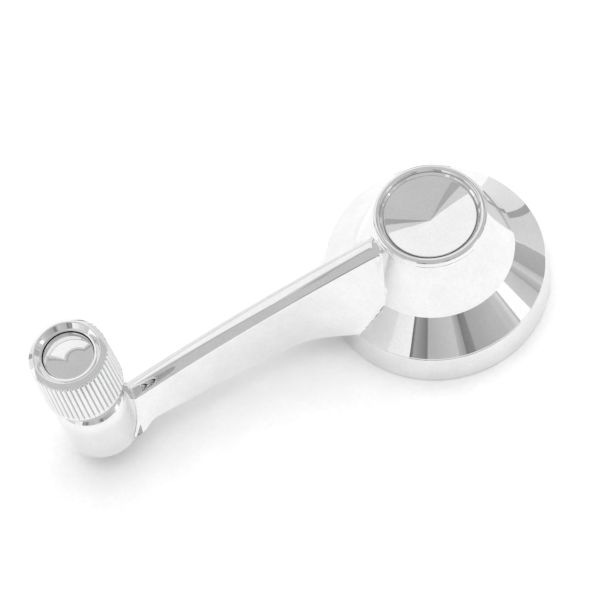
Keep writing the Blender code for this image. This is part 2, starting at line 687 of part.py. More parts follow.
def escutcheon_spring(parent, finish):
    """Conical coil spring in the hollow, which presses the escutcheon to the door panel."""
    low = RING_WEB_TOP + RUNNING_GAP + SPRING_WIRE / 2
    high = HOLLOW_TOP - GAP - SPRING_WIRE / 2
    turns = SPRING_STEPS * SPRING_TURNS
    curve = bpy.data.curves.new("escutcheon_spring", "CURVE")
    curve.dimensions = "3D"
    curve.bevel_depth = SPRING_WIRE / 2
    curve.bevel_resolution = 1
    curve.use_fill_caps = True
    spline = curve.splines.new("POLY")
    spline.points.add(int(turns))
    for i, point in enumerate(spline.points):
        share = i / turns
        angle = math.tau * SPRING_TURNS * share
        radius = SPRING_LOW_RADIUS + (SPRING_HIGH_RADIUS - SPRING_LOW_RADIUS) * share
        point.co = (radius * math.cos(angle), radius * math.sin(angle), low + (high - low) * share, 1)
    spline.use_smooth = True
    curve.materials.append(finish)
    spring = bpy.data.objects.new("escutcheon_spring", curve)
    spring.parent = parent
    bpy.context.scene.collection.objects.link(spring)
    return spring


# Knob pin and washers


def knob_pin(parent, finish):
    """Shoulder rivet: a flat head inside the knob and an upset end in the boss's pocket."""
    foot = RIVET_TOP - RIVET_HEIGHT
    outline = [
        (0, PIN_HEAD_TOP),
        (PIN_HEAD_RADIUS - GAP, PIN_HEAD_TOP),
        (PIN_HEAD_RADIUS, PIN_HEAD_TOP - GAP),
        (PIN_HEAD_RADIUS, PIN_HEAD_FOOT),
        (PIN_RADIUS, PIN_HEAD_FOOT),
        (PIN_RADIUS, RIVET_TOP),
        (RIVET_RADIUS, RIVET_TOP),
        (RIVET_RADIUS, RIVET_TOP - RIVET_HEIGHT / 3),
        (RIVET_RADIUS - RIVET_TAPER, foot),
        (0, foot),
    ]
    return turned("knob_pin", outline, TINY_STEPS, parent, finish)


def rivet_washer(parent, finish):
    outline = box_outline(
        PIN_HOLE_RADIUS,
        RIVET_POCKET_RADIUS - GAP,
        RIVET_WASHER_FOOT,
        RIVET_WASHER_FOOT + RIVET_WASHER_HEIGHT,
    )
    return turned("rivet_washer", outline, TINY_STEPS, parent, finish)


def thrust_washer(parent, finish):
    foot = COLLAR_TOP + RUNNING_GAP
    outline = box_outline(PIN_HOLE_RADIUS, COLLAR_RADIUS - GAP, foot, foot + THRUST_WASHER_HEIGHT)
    return turned("thrust_washer", outline, SMALL_STEPS, parent, finish)


# Knob


def knob_radius(height):
    """Outer radius of the knob's sleeve, which tapers to its crown."""
    share = (height - KNOB_FOOT) / (CROWN_EDGE - KNOB_FOOT)
    return KNOB_FOOT_RADIUS + (KNOB_TOP_RADIUS - KNOB_FOOT_RADIUS) * share


def knob_sleeve(parent, finish):
    """Fluted shell with a plain ring at its foot and a crown that dips to the cap's opening."""
    plain = KNOB_FOOT + KNOB_PLAIN_RING
    flute_top = CROWN_EDGE - FLUTE_DEPTH
    inner = CORE_RADIUS + GAP
    outline = [
        (CROWN_HOLE_RADIUS, CROWN_TOP - CROWN_DIP),
        (CROWN_LIP_RADIUS, CROWN_TOP - CROWN_DIP),
        (CROWN_RADIUS, CROWN_TOP),
        (knob_radius(CROWN_EDGE) - FLUTE_DEPTH, CROWN_EDGE),
        (knob_radius(flute_top), flute_top),
        (knob_radius(plain), plain),
        (knob_radius(plain), plain - FLUTE_DEPTH),
        (knob_radius(KNOB_FOOT), KNOB_FOOT),
        (inner, KNOB_FOOT),
        (inner, CROWN_UNDERSIDE),
        (CROWN_HOLE_RADIUS, CROWN_UNDERSIDE),
    ]
    bm = spun(outline, 2 * FLUTES)
    margin = FLUTE_DEPTH / 4
    scallop(
        bm,
        FLUTES,
        lambda radius, height: radius > inner + margin and plain - margin < height < flute_top + margin,
        -FLUTE_DEPTH,
    )
    return place("knob_sleeve", mesh_from(bm, "knob_sleeve"), parent, finish)


def knob_core(parent, finish):
    """Moulded core: bore for the bush below, room for the pin's head above, seat for the cap on top."""
    seat = KNOB_CAP_RADIUS + GAP
    bush_seat = BUSH_TOP - BUSH_FLANGE - GAP
    outline = [
        (seat, CORE_TOP),
        (CORE_RADIUS, CORE_TOP),
        (CORE_RADIUS, CORE_FOOT),
        (BUSH_RADIUS + GAP, CORE_FOOT),
        (BUSH_RADIUS + GAP, bush_seat),
        (CORE_STEP_RADIUS, bush_seat),
        (CORE_STEP_RADIUS, KNOB_CAP_FOOT - GAP),
        (seat, KNOB_CAP_FOOT - GAP),
    ]
    return turned("knob_core", outline, SMALL_STEPS, parent, finish)


def knob_bush(parent, finish):
    flange = BUSH_TOP - BUSH_FLANGE
    outline = [
        (PIN_HOLE_RADIUS, BUSH_TOP),
        (PIN_HEAD_RADIUS, BUSH_TOP),
        (PIN_HEAD_RADIUS, flange),
        (BUSH_RADIUS, flange),
        (BUSH_RADIUS, CORE_FOOT),
        (PIN_HOLE_RADIUS, CORE_FOOT),
    ]
    return turned("knob_bush", outline, TINY_STEPS, parent, finish)


def knob_plain_washer(parent, finish):
    outline = box_outline(
        PIN_HOLE_RADIUS, PIN_HEAD_RADIUS, KNOB_WASHER_FOOT, KNOB_WASHER_FOOT + WAVE_WASHER_THICKNESS
    )
    return turned("knob_plain_washer", outline, TINY_STEPS, parent, finish)


def knob_wave_washer(parent, finish):
    """Thin washer pressed into waves, which takes up the knob's end play."""
    outline = box_outline(
        PIN_HOLE_RADIUS, PIN_HEAD_RADIUS, WAVE_WASHER_FOOT, WAVE_WASHER_FOOT + WAVE_WASHER_THICKNESS
    )
    bm = spun(outline, 2 * TINY_STEPS)
    for vert in bm.verts:
        angle = math.atan2(vert.co.y, vert.co.x)
        vert.co.z += WAVE_HEIGHT * (1 + math.sin(WAVES * angle)) / 2
    return place("knob_wave_washer", mesh_from(bm, "knob_wave_washer"), parent, finish)


def knob_cap(parent, finish):
    """Domed plug that hides the pin's head."""
    side = KNOB_CAP_FOOT + KNOB_CAP_SIDE
    dome_radius = (KNOB_CAP_RADIUS**2 + KNOB_CAP_DOME**2) / (2 * KNOB_CAP_DOME)
    half_angle = math.degrees(math.asin(KNOB_CAP_RADIUS / dome_radius))
    centre = (0, side + KNOB_CAP_DOME - dome_radius)
    dome = arc(centre, dome_radius, 90, 90 - half_angle, DOME_STEPS)
    outline = [(0, side + KNOB_CAP_DOME), *dome[1:], (KNOB_CAP_RADIUS, KNOB_CAP_FOOT), (0, KNOB_CAP_FOOT)]
    return turned("knob_cap", outline, SMALL_STEPS, parent, finish)


def build():
    clear_scene()
    spindle = axis_empty("spindle_axis", 0)
    crank = axis_empty("crank_axis", 0)
    knob = axis_empty("knob_axis", -CRANK_LENGTH)
    crank.parent = spindle
    knob.parent = crank

    chrome = material("chrome_on_zinc", (0.9, 0.9, 0.91), 0.04, 1.0)
    chrome_cap = material("chrome_on_brass", (0.91, 0.91, 0.92), 0.03, 1.0)
    steel = material("zinc_plated_steel", (0.62, 0.63, 0.65), 0.32, 1.0)
    spring_steel = material("blued_spring_steel", (0.12, 0.13, 0.16), 0.35, 1.0)
    nylon = material("natural_nylon", (0.82, 0.8, 0.73), 0.45, 0.0)
    black = material("black_moulding", (0.02, 0.02, 0.022), 0.4, 0.0)
    rubber = material("black_rubber", (0.03, 0.03, 0.03), 0.75, 0.0)
    bronze = material("sintered_bronze", (0.6, 0.42, 0.22), 0.4, 1.0)

    escutcheon_ring(spindle, chrome)
    rim_gasket(spindle, rubber)
    friction_ring(spindle, nylon)

    crank_casting(crank, knob, chrome)
    spline_insert(crank, steel)
    hub_screw(crank, steel)
    hub_lock_washer(crank, spring_steel)
    hub_plain_washer(crank, steel)
    hub_cap(crank, chrome_cap)
    cap_snap_ring(crank, spring_steel)
    neck_circlip(crank, spring_steel)
    neck_washer(crank, nylon)
    escutcheon_spring(crank, spring_steel)

    knob_pin(knob, steel)
    rivet_washer(knob, steel)
    thrust_washer(knob, nylon)
    knob_sleeve(knob, chrome)
    knob_core(knob, black)
    knob_bush(knob, bronze)
    knob_plain_washer(knob, steel)
    knob_wave_washer(knob, spring_steel)
    knob_cap(knob, chrome_cap)


build()
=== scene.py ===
import math

import bmesh
import bpy
import numpy as np
from mathutils import Matrix, Vector


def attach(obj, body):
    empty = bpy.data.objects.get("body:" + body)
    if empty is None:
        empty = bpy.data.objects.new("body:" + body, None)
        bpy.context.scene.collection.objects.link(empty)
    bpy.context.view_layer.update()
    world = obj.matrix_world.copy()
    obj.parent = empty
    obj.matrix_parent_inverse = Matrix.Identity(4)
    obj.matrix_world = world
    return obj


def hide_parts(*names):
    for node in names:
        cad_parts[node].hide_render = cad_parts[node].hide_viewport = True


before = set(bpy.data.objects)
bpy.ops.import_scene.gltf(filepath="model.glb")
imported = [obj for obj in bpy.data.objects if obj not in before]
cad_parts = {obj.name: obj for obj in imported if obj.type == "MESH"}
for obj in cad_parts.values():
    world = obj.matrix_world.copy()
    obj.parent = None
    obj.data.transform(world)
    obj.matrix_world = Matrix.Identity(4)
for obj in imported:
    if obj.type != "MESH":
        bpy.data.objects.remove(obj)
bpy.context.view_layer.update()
MM = 0.001

# %% [markdown]
# A car window crank is a chromed zinc casting: a round hub over the spindle, a slim arm and a boss that
# carries a turning knob. Almost all of it is turned on a lathe or drawn as a section that slides along a
# line, so two tools are enough. `rounded` draws an outline with eased corners, and `turned` spins it. Each
# straight part of the outline gets an extra point close to each end, which keeps a polished flat face flat
# in its reflections.

# %%
# Tools for outlines and turned pieces


def rounded(points, corner_steps=5, support=0.25):
    """A closed outline of (radius, height, corner radius) in mm, with its corners rounded and supported."""
    made = []
    count = len(points)
    for i, (x, z, corner) in enumerate(points):
        here = Vector((x, z))
        before = Vector(points[i - 1][:2]) - here
        after = Vector(points[(i + 1) % count][:2]) - here
        half = before.angle(after) / 2
        if corner <= 0 or half > 1.55:
            made.append((here.x, here.y))
            continue
        reach = min(corner / math.tan(half), 0.45 * before.length, 0.45 * after.length)
        radius = reach * math.tan(half)
        middle = here + (before.normalized() + after.normalized()).normalized() * radius / math.sin(half)
        first = here + before.normalized() * reach
        last = here + after.normalized() * reach
        if before.length > 4 * (reach + support):
            made.append(tuple(first + before.normalized() * support))
        start = math.atan2(first.y - middle.y, first.x - middle.x)
        sweep = (math.atan2(last.y - middle.y, last.x - middle.x) - start + math.pi) % math.tau - math.pi
        for k in range(corner_steps + 1):
            angle = start + sweep * k / corner_steps
            made.append((middle.x + radius * math.cos(angle), middle.y + radius * math.sin(angle)))
        if after.length > 4 * (reach + support):
            made.append(tuple(last + after.normalized() * support))
    return made


def arc(centre, radius, start, end, steps):
    """Points of an arc in mm, angles in degrees from the radial direction."""
    angles = [math.radians(start + (end - start) * k / steps) for k in range(steps + 1)]
    return [(centre[0] + radius * math.cos(a), centre[1] + radius * math.sin(a)) for a in angles]


def turned(outline, steps, axis_x=0.0, opening=0.0):
    """A bmesh of the outline spun about an upright axis. A ring with an opening keeps two flat ends."""
    bm = bmesh.new()
    verts = [bm.verts.new((x * MM, 0, z * MM)) for x, z in outline]
    edges = [bm.edges.new((verts[i - 1], verts[i])) for i in range(len(verts))]
    geometry = verts + edges
    if opening:
        geometry = geometry + [bm.faces.new(verts)]
        turn = Matrix.Rotation(math.radians(opening / 2), 3, "Z")
        bmesh.ops.rotate(bm, verts=bm.verts, cent=(0, 0, 0), matrix=turn)
    bmesh.ops.spin(
        bm,
        geom=geometry,
        cent=(0, 0, 0),
        axis=(0, 0, 1),
        angle=math.radians(360 - opening),
        steps=steps,
        use_merge=not opening,
    )
    bmesh.ops.remove_doubles(bm, verts=bm.verts, dist=1e-7)
    bmesh.ops.translate(bm, vec=(axis_x * MM, 0, 0), verts=bm.verts)
    return bm


def joined(*shells):
    """One bmesh that holds several closed shells of the same casting."""
    bm = bmesh.new()
    for shell in shells:
        part = bpy.data.meshes.new("shell")
        shell.to_mesh(part)
        shell.free()
        bm.from_mesh(part)
        bpy.data.meshes.remove(part)
    return bm


def piece(name, bm, body, nodes, finish, sharp=40):
    """Puts a finished mesh in the scene, riding on its CAD body in place of the CAD nodes it stands for."""
    bmesh.ops.recalc_face_normals(bm, faces=bm.faces)
    mesh = bpy.data.meshes.new(name)
    bm.to_mesh(mesh)
    bm.free()
    mesh.shade_smooth()
    mesh.set_sharp_from_angle(angle=math.radians(sharp))
    mesh.materials.append(finish)
    obj = bpy.data.objects.new(name, mesh)
    bpy.context.scene.collection.objects.link(obj)
    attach(obj, body)
    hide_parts(*nodes)
    print(f"{name}: {len(mesh.polygons)} faces, size {[round(d / MM, 1) for d in obj.dimensions]} mm")
    return obj


# %% [markdown]
# Finishes. Real chrome is never a perfect mirror: the plating copies a little of the polishing under it, so
# its gloss changes slightly over the surface and there is a faint grain. The same recipe, a fine noise that
# drives colour, roughness and a very small bump, gives every other finish too. The sizes of the noise are in
# millimetres: the object's coordinates are metres, so a grain of g mm is a scale of 1000 / g.

# %%
# Finishes


def linear(text):
    """A hex colour as the linear values that Blender's sockets hold."""
    values = [int(text[i : i + 2], 16) / 255 for i in (1, 3, 5)]
    return [v / 12.92 if v <= 0.04045 else ((v + 0.055) / 1.055) ** 2.4 for v in values] + [1.0]


def add(tree, kind, sockets, **settings):
    """Adds a node, with its settings and what each of its sockets holds or is linked to."""
    made = tree.nodes.new(kind)
    for key, value in settings.items():
        setattr(made, key, value)
    for key, value in sockets.items():
        if isinstance(value, bpy.types.NodeSocket):
            tree.links.new(value, made.inputs[key])
        else:
            made.inputs[key].default_value = value
    return made


def finish(name, low, high, rough, grain, bump, metallic=0.0, patch=9.0, stretch=(1, 1, 1)):
    """A finish between two colours and two roughnesses. Grain and patch are in mm, bump in micrometres."""
    made = bpy.data.materials.new(name)
    made.use_nodes = True
    tree = made.node_tree
    shader = tree.nodes["Principled BSDF"]
    place = add(tree, "ShaderNodeTexCoord", {}).outputs["Object"]
    drawn = add(tree, "ShaderNodeMapping", {"Vector": place, "Scale": stretch}).outputs["Vector"]
    wide = add(tree, "ShaderNodeTexNoise", {"Vector": place, "Scale": 1000 / patch, "Detail": 3.0})
    fine = add(tree, "ShaderNodeTexNoise", {"Vector": drawn, "Scale": 1000 / grain, "Detail": 4.0})
    both = add(
        tree,
        "ShaderNodeMath",
        {0: wide.outputs["Fac"], 1: fine.outputs["Fac"]},
        operation="MULTIPLY",
    ).outputs[0]
    spread = {"From Min": 0.15, "From Max": 0.35, "To Min": 0.0, "To Max": 1.0}
    share = add(tree, "ShaderNodeMapRange", {"Value": both, **spread}).outputs["Result"]
    colour = add(
        tree,
        "ShaderNodeMix",
        {0: share, 6: linear(low), 7: linear(high)},
        data_type="RGBA",
    )
    gloss = add(tree, "ShaderNodeMapRange", {"Value": share, "To Min": rough[0], "To Max": rough[1]})
    dent = add(
        tree,
        "ShaderNodeBump",
        {"Height": fine.outputs["Fac"], "Distance": bump * 1e-6, "Strength": 1.0},
    )
    tree.links.new(colour.outputs[2], shader.inputs["Base Color"])
    tree.links.new(gloss.outputs["Result"], shader.inputs["Roughness"])
    tree.links.new(dent.outputs["Normal"], shader.inputs["Normal"])
    shader.inputs["Metallic"].default_value = metallic
    return made


CHROME = finish("chrome plated zinc die casting", "#E5E5E6", "#EBEBEB", (0.02, 0.045), 0.9, 0.08, 1.0)
CHROME_BRASS = finish("chrome plated turned brass", "#E5E5E5", "#ECECEC", (0.015, 0.04), 0.7, 0.06, 1.0)
CHROME_FLUTES = finish("chrome plated fluted brass", "#E5E5E5", "#ECECEC", (0.015, 0.04), 0.7, 0.06, 1.0)
STEEL = finish("zinc plated machined steel", "#8E9196", "#B9BBBD", (0.26, 0.42), 0.35, 3.0, 1.0)
SPRING = finish("blued rolled spring steel", "#2A2D33", "#454A52", (0.3, 0.45), 0.4, 3.0, 1.0)
NYLON = finish("natural nylon turned washer", "#CFCABB", "#E0DCCF", (0.42, 0.55), 0.6, 6.0)
MOULDING = finish("black phenolic compression moulding", "#0C0C0D", "#17171A", (0.32, 0.46), 0.5, 5.0)
RUBBER = finish("black moulded rubber", "#151515", "#242424", (0.65, 0.8), 0.5, 12.0)
BRONZE = finish("sintered bronze", "#8A6A3C", "#B08C55", (0.35, 0.5), 0.25, 8.0, 1.0)
print("finishes:", len([m for m in bpy.data.materials if m.use_nodes]))

# %% [markdown]
# The casting is three shells in one piece: the hub, the arm and the boss. The hub is a closed outline
# round the spindle, so the hollow under the flange, the neck, the socket and the screw pocket all come
# from one spin. The bead round the dish is an arc in the same outline. Real castings of this kind are
# turned on their faces and polished before plating, which is why the cones are straight and their edges
# nearly sharp.

# %%
# Hub and boss of the casting
HUB_STEPS = 288
CRANK = 110.0  # spindle axis to knob axis
UNDERSIDE = 10.9
HUB_TOP = 38.0
HUB_TOP_RADIUS = 17.0
HUB_FOOT = 20.4
HUB_FOOT_RADIUS = 24.0
RIM_RADIUS = 33.1
RIM_TOP = 11.4
NECK_RADIUS = 10.5
NECK_FOOT = 2.5
BOSS_RADIUS = 11.4
BOSS_SHOULDER = (25.5, 31.5)
COLLAR = (7.4, 36.4)

hub_outline = rounded(
    [
        (13.5, 33.03, 0),
        (13.5, 37.45, 0.1),
        *[(x, z, 0) for x, z in arc((15.5, 38.575), 1.15, 195, -5, 14)],
        (HUB_TOP_RADIUS, HUB_TOP, 0.3),
        (HUB_FOOT_RADIUS, HUB_FOOT, 0.5),
        (RIM_RADIUS, RIM_TOP, 0.22),
        (RIM_RADIUS, UNDERSIDE, 0.12),
        (25.9, UNDERSIDE, 0.4),
        (21.6, 19.2, 1.5),
        (20.2, 23.73, 1.5),
        (NECK_RADIUS, 23.73, 1.5),
        (NECK_RADIUS, 5.9, 0.1),
        (9.6, 5.9, 0.1),
        (9.6, 4.2, 0.1),
        (NECK_RADIUS, 4.2, 0.1),
        (NECK_RADIUS, NECK_FOOT, 0.3),
        (8.3, NECK_FOOT, 0.2),
        (8.3, 22.23, 0),
        (3.2, 22.23, 0),
        (3.2, 25.23, 0),
        (7.6, 25.23, 0.4),
        (7.6, 33.03, 0.2),
    ]
)
shoulder = [
    (COLLAR[0] + 3.8 * x, BOSS_SHOULDER[0] + 6.0 * z, 0) for x, z in reversed(arc((0, 0), 1, 0, 90, 16))
]
boss_outline = rounded(
    [
        (3.6, COLLAR[1], 0.1),
        (COLLAR[0], COLLAR[1], 0.3),
        *shoulder,
        (BOSS_RADIUS, 10.5, 0),
        (BOSS_RADIUS, 9.4, 1.1),
        (6.4, 9.4, 0.15),
        (6.4, 13.4, 0.2),
        (3.6, 13.4, 0.1),
    ]
)
hub_shell = turned(hub_outline, HUB_STEPS)
boss_shell = turned(boss_outline, 144, -CRANK)
print("hub outline points:", len(hub_outline), "boss outline points:", len(boss_outline))

# %% [markdown]
# The arm is one section slid from hub to boss: slightly sloping walls, a narrow crowned strip on top and a
# rounded edge between them. What makes it look cast and not glued on are its fillets. Where a wall comes
# close to the hub, the flange or the boss, the surface is moved outwards along its own normal by r -
# sqrt(r^2 - (r - d)^2), with d the distance left to the other surface. That is the quarter circle of a
# fillet with radius r, so the wall leaves its own plane smoothly and meets the other surface smoothly. The
# first and last loops follow the hub's cone and the boss's cylinder and end inside them.

# %%
# The arm with its fillets
STRIP = 3.3  # half the width of the arm's top
EDGE = 1.0
CROWN_ANGLE = 68  # where the rounded edge turns into the crowned strip, in degrees from level
WALL_POINTS = 60
WAIST = 45.1
LAST_STRETCH = 94.0
ARM_END = CRANK - BOSS_RADIUS
BOSS_INSIDE = 10.6
HUB_INSIDE = 22.8  # where the arm starts, at the height of the hub's foot


def arm_top(x):
    share = (x - HUB_TOP_RADIUS) / (ARM_END - HUB_TOP_RADIUS)
    return 36.0 - 15.5 * share + 8.0 * share * (1 - share)


def arm_foot(x):
    share = np.clip((x - WAIST) / (ARM_END - WAIST), 0, 1)
    flare = np.clip((x - ARM_END + 3.4) / 6.8, 0, 1)
    widening = np.clip((WAIST + 7 - x) / 14, 0, 1)
    root = np.where(x < WAIST - 7, WAIST - x, 14 * widening**2 / 2)
    return 5.15 + 1.85 * share**2 + 2.6 * flare**2 * (3 - 2 * flare) + 0.43 * root


def arm_section(x, part):
    """Points and normals of half a section: part 0 to 1 is the wall, 1 to 2 the edge, 2 to 3 the strip."""
    top = arm_top(x)
    foot = arm_foot(x)
    across = STRIP - EDGE
    lean = np.arctan2(foot - STRIP, top - EDGE - UNDERSIDE)
    crown = math.radians(CROWN_ANGLE)
    wall = np.clip(part, 0, 1)
    angle = lean + (crown - lean) * np.clip(part - 1, 0, 1)
    inward = np.clip(part - 2, 0, 1)
    edge_y = across + EDGE * np.cos(lean)
    edge_z = top - EDGE + EDGE * np.sin(lean)
    y = np.where(part <= 1, foot + (edge_y - foot) * wall, across + EDGE * np.cos(angle))
    z = np.where(part <= 1, UNDERSIDE + (edge_z - UNDERSIDE) * wall, top - EDGE + EDGE * np.sin(angle))
    half = across + EDGE * math.cos(crown)
    slope = 1 / math.tan(crown)
    y = np.where(part > 2, half * (1 - inward), y)
    z = np.where(part > 2, z + half * slope * (1 - (1 - inward) ** 2) / 2, z)
    angle = np.where(part > 2, crown + (math.pi / 2 - crown) * inward, angle)
    return y, z, np.cos(angle), np.sin(angle)


def hub_distance(r, z):
    """Distance in mm from a point to the outside of the hub and flange."""
    cone = (r - HUB_TOP_RADIUS) * 0.929 + (z - HUB_TOP) * 0.3696
    flange = np.maximum((r - HUB_FOOT_RADIUS) * 0.703 + (z - HUB_FOOT) * 0.711, r - RIM_RADIUS)
    return np.minimum(cone, flange)


def fillet(distance, radius):
    left = np.clip(radius - distance, 0, radius * 0.999)
    return radius - np.sqrt(radius**2 - left**2)


def spaced(first, last, step):
    return np.linspace(first, last, max(2, round(abs(last - first) / step)))


wall_parts = np.linspace(0, 1, WALL_POINTS) ** 1.25
half_parts = np.concatenate([wall_parts, 1 + np.linspace(0, 1, 9)[1:], 2 + np.linspace(0, 1, 9)[1:]])
parts = np.concatenate([half_parts, half_parts[-2::-1]])
sides = np.concatenate([np.ones(len(half_parts)), -np.ones(len(half_parts) - 1)])
root = np.concatenate([spaced(0, 0.3, 0.014), spaced(0.3, 1, 0.028)[1:]])
levels = np.concatenate([root, 1 + spaced(0, 1, 0.016)[1:], 2 + spaced(0, 1, 0.04)[1:]])
stage, part = np.meshgrid(levels, parts, indexing="ij")
side = np.broadcast_to(sides, stage.shape)
x = np.full(stage.shape, 40.0)
for _ in range(8):
    y, z, normal_y, normal_z = arm_section(x, part)
    inner = HUB_INSIDE + (HUB_FOOT - z) * np.where(z > HUB_FOOT, 0.398, 0.41)
    start = np.sqrt(np.maximum(inner**2 - y**2, 1))
    end = CRANK - np.sqrt(np.maximum(BOSS_INSIDE**2 - y**2, 1))
    u = np.clip(stage, 0, 1)
    x = start + (WAIST - start) * u
    x = np.where(stage > 1, WAIST + (LAST_STRETCH - WAIST) * (stage - 1), x)
    x = np.where(stage > 2, LAST_STRETCH + (end - LAST_STRETCH) * (stage - 2), x)
y, z, normal_y, normal_z = arm_section(x, part)
out = np.zeros(stage.shape)
for _ in range(6):
    moved_y = y + normal_y * out
    moved_z = z + normal_z * out * np.clip(z - UNDERSIDE, 0, 1)
    radius = 0.8 + 0.7 * np.clip((moved_z - 21) / 5, 0, 1)
    to_hub = hub_distance(np.hypot(x, moved_y), moved_z) + 0.03
    to_boss = np.hypot(CRANK - x, moved_y) - 11.37 + 0.0133 * (moved_z - 10.5)
    hub = fillet(np.maximum(to_hub, 0), radius) * np.clip(1 + to_hub / 1.5, 0, 1)
    knob = fillet(np.maximum(to_boss, 0), 0.7) * np.clip(1 + to_boss / 0.6, 0, 1)
    out = np.maximum(hub, knob)
moved_y = sides * (y + normal_y * out)
moved_z = z + normal_z * out * np.clip(z - UNDERSIDE, 0, 1)
back = np.linspace(0, 1, 13)[1:]
under_y = moved_y[:, -1:] + (moved_y[:, :1] - moved_y[:, -1:]) * back
under_end = CRANK - np.sqrt(np.maximum(BOSS_INSIDE**2 - under_y**2, 1))
bottom_stage = stage[:, :1]
last_x = LAST_STRETCH + (under_end - LAST_STRETCH) * (bottom_stage - 2)
under_x = np.where(bottom_stage > 2, last_x, x[:, :1])
arm_x = np.hstack([x, under_x])
arm_y = np.hstack([moved_y, under_y])
arm_z = np.hstack([moved_z, np.full(under_y.shape, UNDERSIDE)])
rows, columns = arm_x.shape
arm_shell = bmesh.new()
bmesh.ops.create_grid(arm_shell, x_segments=columns - 1, y_segments=rows - 1, size=1)
for vert in arm_shell.verts:
    column = round((vert.co.x + 1) / 2 * (columns - 1))
    row = round((vert.co.y + 1) / 2 * (rows - 1))
    vert.co = Vector((-arm_x[row, column], arm_y[row, column], arm_z[row, column])) * MM
bmesh.ops.remove_doubles(arm_shell, verts=arm_shell.verts, dist=1e-7)
bmesh.ops.holes_fill(arm_shell, edges=arm_shell.edges)
print("arm grid:", arm_x.shape, "open edges:", sum(len(e.link_faces) != 2 for e in arm_shell.edges))
piece(
    "cast_crank",
    joined(hub_shell, arm_shell, boss_shell),
    "crank",
    ["crank_casting"],
    CHROME,
)

# %% [markdown]
# The escutcheon and the small turned parts on the spindle side. The escutcheon stays on the door while the
# crank turns. A rubber gasket sits in its foot, and a circlip with a nylon washer keeps it on the neck.

# %%
# Escutcheon and the parts on the neck
ring_outline = rounded(
    [
        (33.1, 10.6, 0.45),
        (34.7, 0, 0.45),
        (33.0, 0, 0.2),
        (33.0, 2.3, 0.1),
        (31.6, 2.3, 0.2),
        (31.6, 7.2, 0.8),
        (10.8, 7.2, 0.2),
        (10.8, 9.0, 0.2),
        (31.4, 9.0, 0.3),
        (31.4, 10.6, 0.2),
    ]
)
ring = turned(ring_outline, HUB_STEPS)
piece("escutcheon", ring, "escutcheon", ["escutcheon_ring"], CHROME)


def washer(
    name, inner, outer, foot, top, corner, body, slot, nodes, look, axis_x=0.0, opening=0.0, steps=144
):
    """A ring of rectangular section with eased corners."""
    corners = [(inner, foot), (outer, foot), (outer, top), (inner, top)]
    outline = rounded([(x, z, corner) for x, z in corners])
    return piece(name, turned(outline, steps, axis_x, opening), body, nodes, look)


gasket = (29.9, 32.7, 0, 2.0, 0.5)
washer("gasket", *gasket, "escutcheon", "black_rubber", ["rim_gasket"], RUBBER, steps=HUB_STEPS)
washer("circlip", 9.9, 12.8, 4.5, 5.6, 0.12, "crank", "spring_steel", ["neck_circlip"], SPRING, opening=40)
washer("neck_ring", 10.8, 15.0, 5.9, 6.9, 0.15, "crank", "natural_nylon", ["neck_washer"], NYLON)

# %% [markdown]
# The steel socket is spun first, and then only the points of its bore are moved. Twelve steps for each
# spline leave enough points for a flat crest, a flat root and the sloping flank between them.

# %%
# Splined socket
SPLINES = 20
SPLINE_HEIGHT = 0.5
socket_outline = rounded(
    [
        (4.7, 21.93, 0),
        (8.0, 21.93, 0.2),
        (8.0, 2.5, 0.15),
        (6.0, 2.5, 0.1),
        (4.7, 3.3, 0),
    ]
)
socket = turned(socket_outline, SPLINES * 12)
for vert in socket.verts:
    across = math.hypot(vert.co.x, vert.co.y) / MM
    phase = math.atan2(vert.co.y, vert.co.x) / math.tau * SPLINES % 1
    wave = min(max(2.4 * abs(2 * phase - 1) - 0.7, 0), 1)
    if across < 4.8:
        vert.co.xy *= (across + SPLINE_HEIGHT * wave) / across
piece("spline_socket", socket, "crank", ["spline_insert"], STEEL)

# %% [markdown]
# The dished cap in the hub hides the screw. It is turned from brass and chromed, so its cone is exact and
# shows straight rays of light and shade that run to the middle.

# %%
# Hub cap
cap_outline = rounded(
    [
        (0, 35.225, 0),
        (0.25, 35.278, 0),
        (0.5, 35.331, 0),
        (13.43, 38.06, 0.14),
        (13.43, 35.64, 0),
        (12.75, 35.64, 0),
        (12.75, 34.14, 0),
        (13.2, 34.14, 0),
        (13.2, 33.33, 0.15),
        (11.6, 33.33, 0.15),
        (11.6, 36.58, 0.5),
        (0, 34.12, 0),
    ]
)
piece("dished_cap", turned(cap_outline, HUB_STEPS), "crank", ["hub_cap"], CHROME_BRASS)
